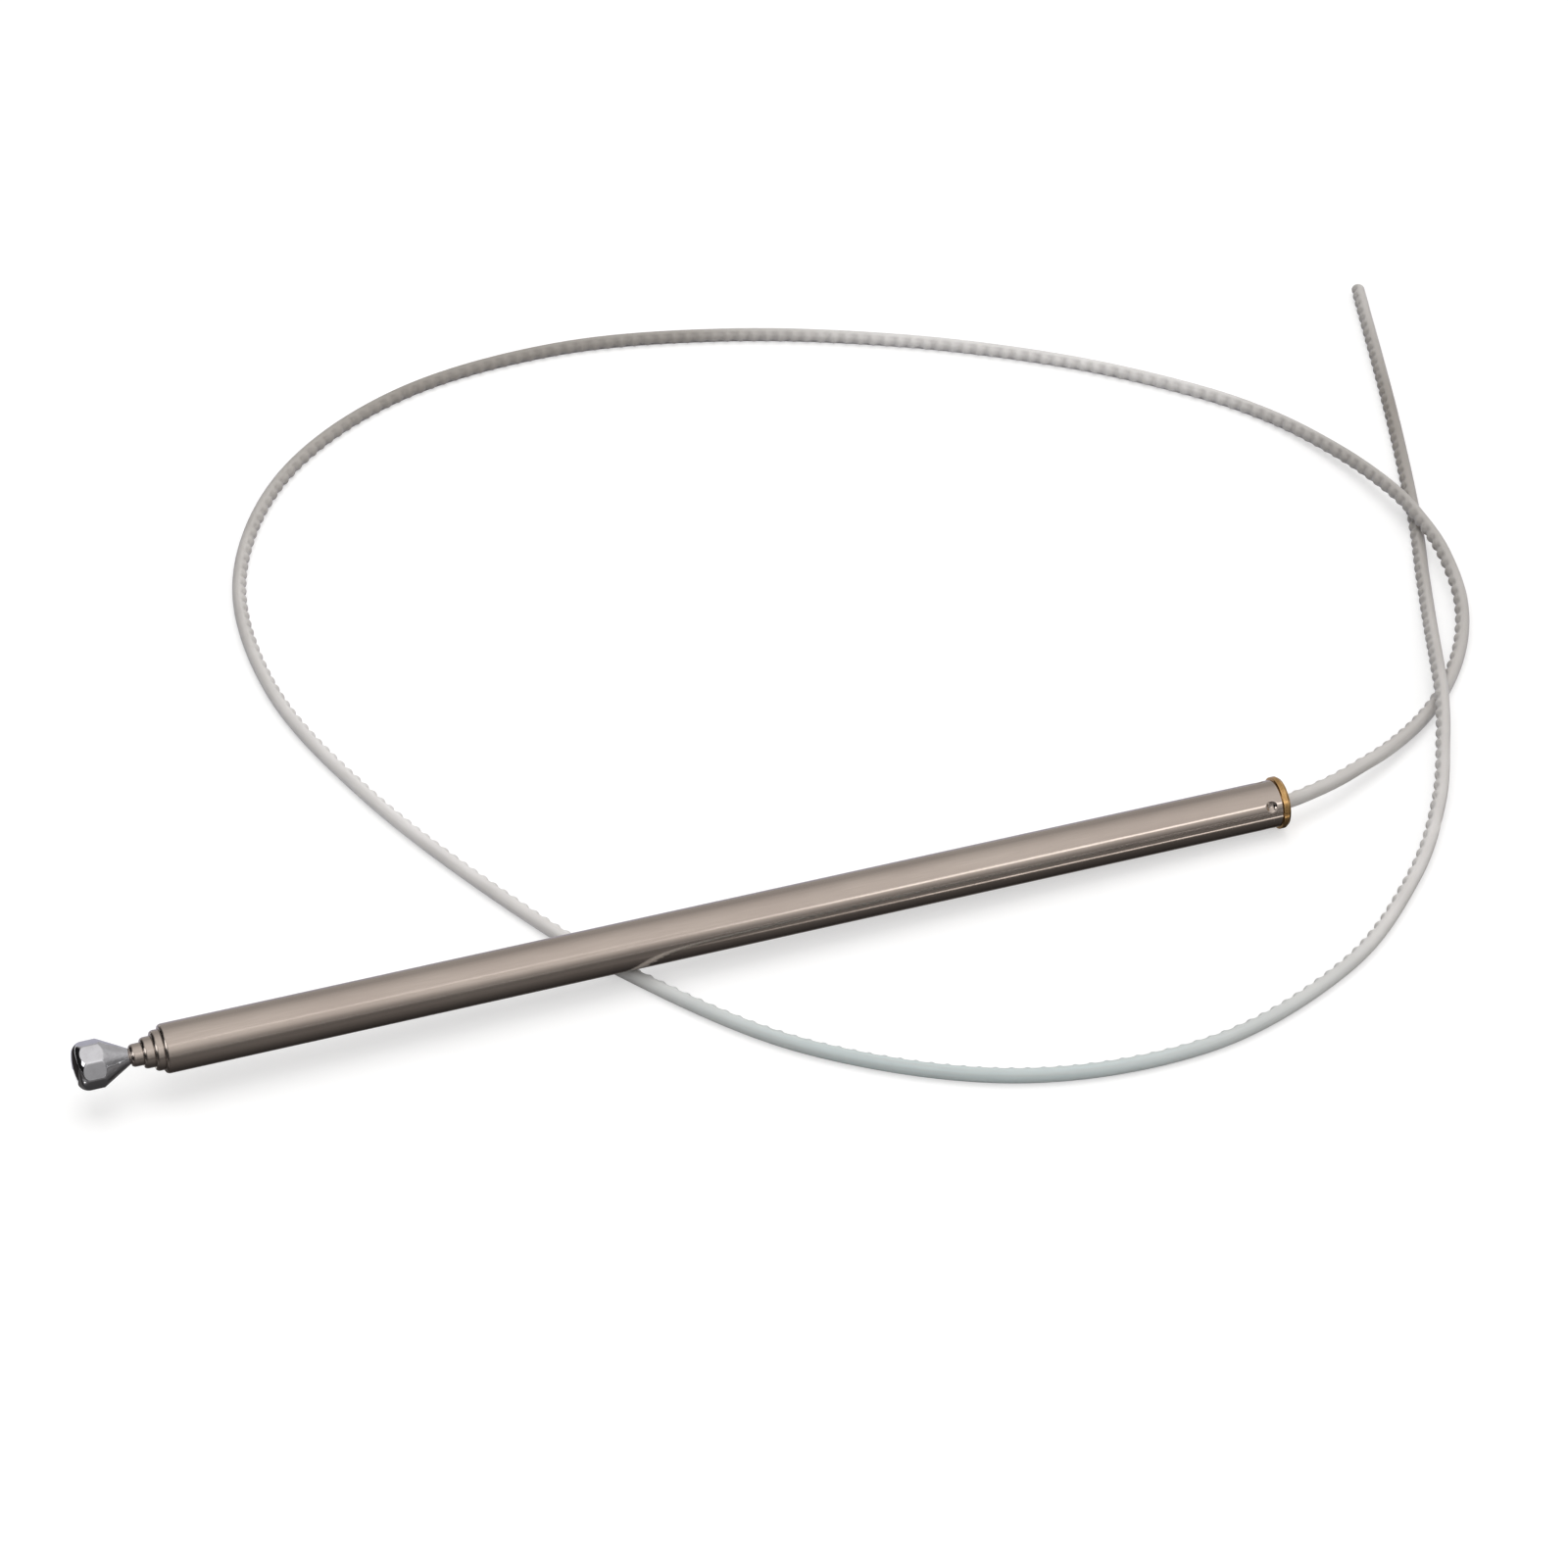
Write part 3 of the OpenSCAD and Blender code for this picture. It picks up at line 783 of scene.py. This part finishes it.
# %% Make the sliding tubes
FOOT = 8.3
sliding = [
    ("lower", 4.1, 3.75, 3.15, 239.1),
    ("middle", 3.15, 2.8, 2.3, 241.25),
    ("upper", 2.3, 1.95, 1.6, 243.6),
]
for section_name, tube_r, bore_r, guest_r, mouth in sliding:
    tube = lathe(section_name + "_tube_drawn", tube_section(tube_r, bore_r, guest_r, FOOT, mouth))
    fit(tube, section_name + "_section", section_name + "_tube", brushed_steel)

# %% Make the tip rod
ROD_R = 1.6
TENON_R = 1.0
ROD_FOOT = 18.3
NECK = 243.8
FOOT_TENON = 3.5
KNOB_TENON = 7.0
rod_section = [tuple(p) for p in eased([
    (0, ROD_FOOT - FOOT_TENON, 0),
    (TENON_R, ROD_FOOT - FOOT_TENON, 0.1),
    (TENON_R, ROD_FOOT, 0),
    (ROD_R, ROD_FOOT, 0.1),
    (ROD_R, NECK, 0.1),
    (TENON_R, NECK, 0),
    (TENON_R, NECK + KNOB_TENON, 0.1),
    (0, NECK + KNOB_TENON, 0),
])]
tip_rod = lathe("tip_rod_ground", rod_section, sides=64)
fit(tip_rod, "tip_section", "tip_rod", brushed_steel)

# %% [markdown]
# ## The tip knob
#
# The knob is turned from round bar, gets eight flats milled round its band, and is plated: a
# dome on top, the band, and a cone down to the neck. Where the turned dome and cone run into
# the flats, their edge runs in scallops. The dome's rounded rim runs on smoothly into a shallow
# crown, whose radius follows from that. In code the knob is one lathe section and one octagon:
# each point takes the smaller of the two radii, blended over a few hundredths of a millimetre,
# as polishing rounds a real edge. The polishing wheel also wore the flats down a little where
# they run up into the dome.

# %% The flats
KNOB_SIDES = 8
FLAT_R = 4.6
FLAT_WEAR = 0.03
KNOB_TURN = math.radians(1.0)
EDGE_SOFT = 0.05
KNOB_R = 4.925
NECK_R = 1.7
CONE_LENGTH = 5.8
BAND_LENGTH = 2.7
DOME_HEIGHT = 2.7
CONE = NECK + SEAT_GAP
BAND = CONE + CONE_LENGTH
DOME = BAND + BAND_LENGTH
TOP = DOME + DOME_HEIGHT


def milled_bar(radius, height, angle):
    """The turned radius, limited by the flats."""
    if height < NECK + 0.1 or radius < NECK_R:
        return radius
    across = (angle - KNOB_TURN) % (2 * math.pi / KNOB_SIDES) - math.pi / KNOB_SIDES
    worn = FLAT_WEAR * max(0.0, height - DOME)**2
    flat = (FLAT_R - worn) / math.cos(across)
    return (radius + flat - math.sqrt((radius - flat)**2 + EDGE_SOFT**2)) / 2


print("knob:", KNOB_SIDES, "flats,", 2 * FLAT_R, "mm across,", round(TOP - CONE, 2), "mm long")

# %% The dome's curves
DOME_EDGE = 2.4
dome_rim = KNOB_R - DOME_EDGE
crown_r = (dome_rim**2 + DOME_HEIGHT**2 - DOME_EDGE**2) / (2 * (DOME_HEIGHT - DOME_EDGE))
crown_angle = math.atan2(dome_rim, crown_r - DOME_HEIGHT)
print("the crown is part of a ball of", round(crown_r, 2), "mm")

# %% Make the knob
CONE_STEPS = 48
BAND_STEPS = 16
EDGE_STEPS = 32
CROWN_STEPS = 12
hole_r = TENON_R + SEAT_GAP
hole_end = NECK + KNOB_TENON + 0.3
knob_section = [(0, hole_end), (hole_r - 0.1, hole_end), (hole_r, hole_end - 0.1)]
knob_section += [(hole_r, CONE + 0.05), (hole_r + 0.05, CONE)]
knob_section += [(NECK_R - 0.08, CONE), (NECK_R - 0.02, CONE + 0.03)]
for k in range(CONE_STEPS + 1):
    share = k / CONE_STEPS
    radius = NECK_R + (KNOB_R - NECK_R) * share
    knob_section.append((radius, CONE + 0.08 + (CONE_LENGTH - 0.08) * share))
for k in range(1, BAND_STEPS + 1):
    knob_section.append((KNOB_R, BAND + BAND_LENGTH * k / BAND_STEPS))
for k in range(1, EDGE_STEPS + 1):
    angle = (math.pi / 2 - crown_angle) * k / EDGE_STEPS
    radius = dome_rim + DOME_EDGE * math.cos(angle)
    knob_section.append((radius, DOME + DOME_EDGE * math.sin(angle)))
for k in range(CROWN_STEPS - 1, -1, -1):
    angle = crown_angle * k / CROWN_STEPS
    knob_section.append((crown_r * math.sin(angle), TOP - crown_r * (1 - math.cos(angle))))
tip_knob = lathe("tip_knob_turned", knob_section, 256, KNOB_TURN, milled_bar)
fit(tip_knob, "tip_section", "tip_knob", bright_chrome)

# %% [markdown]
# ## The base ferrule
#
# A brass plug closes the foot of the outer tube. All that shows is its flange: a narrow round
# band with two fine lines turned in it, and a bevel behind. The spigot inside the tube has a
# groove that the four stakes bite into.

# %% Make the ferrule
SPIGOT_R = OUTER_BORE - SEAT_GAP
SPIGOT = 8.0
FERRULE_BORE = 1.9
FLANGE_END = -1.6
BEVEL_WIDTH = 0.4
LINE_DEPTH = 0.05
LINE_HALF = 0.04
groove_r = punch_middle - bulge_r - 0.3
groove_half = bulge_edge + 0.3


def turned_line(height):
    """The corners of a fine line turned in the flange's band."""
    return [
        (FLANGE_R, height - LINE_HALF, 0.02),
        (FLANGE_R - LINE_DEPTH, height, 0),
        (FLANGE_R, height + LINE_HALF, 0.02),
    ]


ferrule_section = [tuple(p) for p in eased([
    (FERRULE_BORE, FLANGE_END, 0.2),
    (FLANGE_R - BEVEL_WIDTH, FLANGE_END, 0.08),
    (FLANGE_R, -FLANGE_BAND, 0.07),
    *turned_line(-0.68),
    *turned_line(-0.38),
    (FLANGE_R, 0, 0.08),
    (SPIGOT_R, 0, 0),
    (SPIGOT_R, STAKE_HEIGHT - groove_half, 0.05),
    (groove_r, STAKE_HEIGHT - groove_half, 0),
    (groove_r, STAKE_HEIGHT + groove_half, 0),
    (SPIGOT_R, STAKE_HEIGHT + groove_half, 0.05),
    (SPIGOT_R, SPIGOT, 0.2),
    (FERRULE_BORE, SPIGOT, 0.1),
], steps=4)]
ferrule = lathe("base_ferrule_turned", ferrule_section, sides=160)
fit(ferrule, "mast_base", "base_ferrule", lathe_brass)

# %% [markdown]
# ## The fittings inside
#
# Bushes, springs, collars, the coupling and the cable's own end sit inside the tubes and show
# only when a section is taken apart. Their CAD shapes are right as they are, so each keeps its
# solid and only gets its finish.

# %% Finish the hidden fittings
def refinish(node, material):
    """Puts a material on a CAD node without touching its mesh."""
    shape = nodes[node]
    if not shape.material_slots:
        shape.data.materials.append(material)
    for slot in shape.material_slots:
        slot.material = material


for section_name in ("lower", "middle", "upper"):
    refinish(section_name + "_guide_bush", lathe_brass)
    refinish(section_name + "_contact_spring", strip_bronze)
    refinish(section_name + "_stop_collar", lathe_brass)
refinish("tip_contact_spring", strip_bronze)
refinish("tip_stop_collar", lathe_brass)
refinish("cable_coupling", lathe_brass)
refinish("drive_cable_core", milky_nylon)
shown = [name for name, shape in nodes.items() if not shape.hide_render]
print("CAD nodes shown:", len(shown))

# %% [markdown]
# ## Floor, light and what the metal sees
#
# The floor is plain and pale. A part of its white is its own colour under the light, so that it
# keeps the shadow of the mast, and the rest is added for rays from the camera and for
# reflections.
#
# The world is a soft dome, bright overhead and dimmer towards the horizon in front and beyond
# the tip, like a big diffuser over a table. Four soft lamps add to it: a large one overhead
# gives the plain light, two narrow ones in front draw bright lines along the steel, and one at
# the left lights the tip from the side.
#
# Cards lie on the table, as a photographer's flags do, and only reflections see them. A
# polished black one in front of the mast gives the metal its dark lower edge, and carries painted
# light: a painted glow and painted reflections of two lamps. Black goes on beyond the knob, so far
# that the mast stays over it with all its sections out. A grey one behind the mast takes the
# glare off the tubes; its even brightness is painted light, its own emission.

# %% The floor
def flat_sheet(name, low, high, height, material):
    """A level rectangle that is part of the set and not of the object."""
    (x0, y0), (x1, y1) = low, high
    corners = [(x0, y0, height), (x1, y0, height), (x1, y1, height), (x0, y1, height)]
    data = bpy.data.meshes.new(name)
    data.from_pydata(corners, [], [(0, 1, 2, 3)])
    data.materials.append(material)
    sheet = bpy.data.objects.new(name, data)
    bpy.context.scene.collection.objects.link(sheet)
    return sheet


FLOOR_GREY = 0.55
FLOOR_GLOW = 0.52


def make_floor_finish():
    material, tree, shader = finish_named("pale_floor")
    shader.inputs["Base Color"].default_value = (FLOOR_GREY, FLOOR_GREY, FLOOR_GREY, 1)
    shader.inputs["Roughness"].default_value = 0.9
    shader.inputs["Specular IOR Level"].default_value = 0.0
    ray = add(tree, "ShaderNodeLightPath").outputs
    mirrored = sums(tree, "ADD", ray["Is Glossy Ray"], ray["Is Transmission Ray"])
    seen = sums(tree, "ADD", ray["Is Camera Ray"], mirrored)
    glow = add(tree, "ShaderNodeEmission", {"Strength": sums(tree, "MULTIPLY", seen, FLOOR_GLOW)})
    both = add(tree, "ShaderNodeAddShader", {0: shader.outputs[0], 1: glow.outputs[0]})
    tree.links.new(both.outputs[0], tree.nodes["Material Output"].inputs["Surface"])
    return material


floor = flat_sheet("floor", (-4, -4), (4, 4), floor_z * MM, make_floor_finish())
print("floor:", [round(v, 2) for v in floor.dimensions], "m")

# %% The painted light on the black card
def apart(tree, value, other):
    """How far a value is from another one."""
    return sums(tree, "ABSOLUTE", sums(tree, "SUBTRACT", value, other))


def painted_card_light(tree):
    """Painted light on the card: a painted glow near the mast, and painted reflections of two
    lamps.
    """
    place = add(tree, "ShaderNodeTexCoord").outputs["Object"]
    x, y, _ = add(tree, "ShaderNodeSeparateXYZ", {0: place}).outputs

    # A painted glow in front of the mast, strongest 22 mm from it, and one under it, towards the
    # foot: painted light of a lit floor
    near = spread(tree, y, -0.022, -0.005, 0.14, 0.0)
    painted_glow = sums(tree, "MULTIPLY", near, spread(tree, y, -0.06, -0.012, 0.0, 1.0))
    below = band_of(tree, y, (-0.004, -0.0015), (0.003, 0.006))
    under = sums(tree, "MULTIPLY", below, spread(tree, x, -0.2, -0.05, 0.08, 0.26))

    # A painted reflection of a long lamp: a thin line that leads a little away from the mast and
    # fades out halfway
    off_line = apart(tree, y, sums(tree, "MULTIPLY_ADD", x, 0.028, -0.0145))
    line = spread(tree, off_line, 0.0006, 0.0015, 1.0, 0.0, smooth=True)
    by_the_foot = spread(tree, x, -0.15, -0.05, 0.0, 1.7, smooth=True)
    painted_foot_lamp = sums(tree, "MULTIPLY", line, by_the_foot)

    # A painted reflection of a small square lamp, just beyond the knob and in front of it
    off_spot = sums(tree, "MAXIMUM", apart(tree, x, -0.263), apart(tree, y, -0.0105))
    painted_tip_lamp = spread(tree, off_spot, 0.0009, 0.0018, 2.0, 0.0, smooth=True)
    painted_lamp_images = sums(tree, "ADD", painted_foot_lamp, painted_tip_lamp)
    return sums(tree, "ADD", sums(tree, "ADD", painted_glow, under), painted_lamp_images)


def make_card_finish():
    """Polished black, with painted light in its emission."""
    material, tree, shader = finish_named("black_card")
    shader.inputs["Base Color"].default_value = (0.03, 0.027, 0.027, 1)
    shader.inputs["Roughness"].default_value = 0.08
    shader.inputs["Emission Color"].default_value = (1.0, 0.97, 0.94, 1)
    tree.links.new(painted_card_light(tree), shader.inputs["Emission Strength"])
    return material


def make_grey_finish():
    """Dull and a little cool; its even brightness is painted light, its own emission."""
    material, tree, shader = finish_named("grey_card")
    shader.inputs["Base Color"].default_value = (0.05, 0.05, 0.055, 1)
    shader.inputs["Roughness"].default_value = 0.6
    shader.inputs["Emission Color"].default_value = (0.88, 0.87, 1.0, 1)
    # Painted light: the card glows evenly, though it is no lamp
    shader.inputs["Emission Strength"].default_value = 0.5
    return material


card_finish = make_card_finish()
print("material:", card_finish.name, "with", len(card_finish.node_tree.nodes), "nodes")

# %% Lay the cards out
CARD_LIFT = 0.05
FAR_TIP = -1.3
FOOT_END = 0.12
KNOB_PLACE = -0.2597
card_height = (floor_z + CARD_LIFT) * MM
cards = [
    flat_sheet("black_card", (FAR_TIP, -0.6), (FOOT_END, 0.006), card_height, card_finish),
    flat_sheet("end_card", (FAR_TIP, 0.006), (KNOB_PLACE, 0.15), card_height, card_finish),
    flat_sheet("grey_card", (KNOB_PLACE, 0.012), (FOOT_END, 1.5), card_height, make_grey_finish()),
]
for card in cards:
    card.visible_camera = False
    card.visible_diffuse = False
    card.visible_shadow = False
    card.visible_transmission = False
    card.visible_volume_scatter = False
print("set pieces:", floor.name, *[card.name for card in cards])

# %% The world
DOME_TOP = (0, -0.45, 0.89)


def make_world():
    world = bpy.data.worlds.new("soft_dome")
    world.use_nodes = True
    tree = world.node_tree
    way = add(tree, "ShaderNodeTexCoord").outputs["Generated"]
    x, y, z = add(tree, "ShaderNodeSeparateXYZ", {0: way}).outputs

    # Brightest overhead and a little in front, and dim beyond the tip except high up
    dome = spread(tree, vectors(tree, "DOT_PRODUCT", way, DOME_TOP), 0.2, 1.0, 0.55, 1.08)
    side = spread(tree, x, -0.45, -0.1, 0.03, 1.0, smooth=True)
    lid = spread(tree, z, 0.8, 0.95, 0.0, 1.0, smooth=True)

    # Dimmer low down in front, and a little more so towards the foot
    fall = spread(tree, z, 0.1, 0.5, 0.42, 1.0)
    horizon = spread(tree, x, 0.12, 0.32, 0.56, 0.42)
    rising = sums(tree, "MULTIPLY", horizon, spread(tree, z, 0.1, 0.5, 1.0, 1.7))
    behind = spread(tree, y, -0.2, 0.2, 0.0, 1.0)
    front = sums(tree, "MAXIMUM", sums(tree, "MAXIMUM", fall, rising), behind)
    around = sums(tree, "MULTIPLY", dome, front)
    strength = sums(tree, "MULTIPLY", around, sums(tree, "MAXIMUM", side, lid))
    tree.nodes["Background"].inputs["Color"].default_value = (1.0, 0.985, 0.97, 1)
    tree.links.new(strength, tree.nodes["Background"].inputs["Strength"])
    return world


bpy.context.scene.world = make_world()
print("world:", bpy.context.scene.world.name)

# %% The lamps
def soft_box(name, place, target, width, height, power):
    """A rectangular lamp that faces a point."""
    data = bpy.data.lights.new(name, "AREA")
    data.shape = "RECTANGLE"
    data.size = width
    data.size_y = height
    data.energy = power
    lamp = bpy.data.objects.new(name, data)
    lamp.location = place
    lamp.rotation_mode = "QUATERNION"
    lamp.rotation_quaternion = (Vector(target) - Vector(place)).to_track_quat("-Z", "Y")
    bpy.context.scene.collection.objects.link(lamp)
    return lamp


overhead = soft_box(
    "overhead_box", (-0.1, 0.3, 1.3), (-0.1, 0, 0), width=1.2, height=1.2, power=7.5)
overhead.visible_glossy = False
soft_box("right_box", (0.3, -0.8, 0.55), (-0.05, 0, 0), width=0.3, height=0.11, power=0.17)
soft_box("top_strip", (-0.05, -0.66, 0.75), (-0.2, 0, 0), width=0.3, height=0.05, power=0.05)
soft_box("left_box", (-0.8, -0.38, 0.62), (-0.25, 0, 0), width=0.5, height=0.5, power=1.8)
bpy.context.scene.view_settings.view_transform = "Standard"
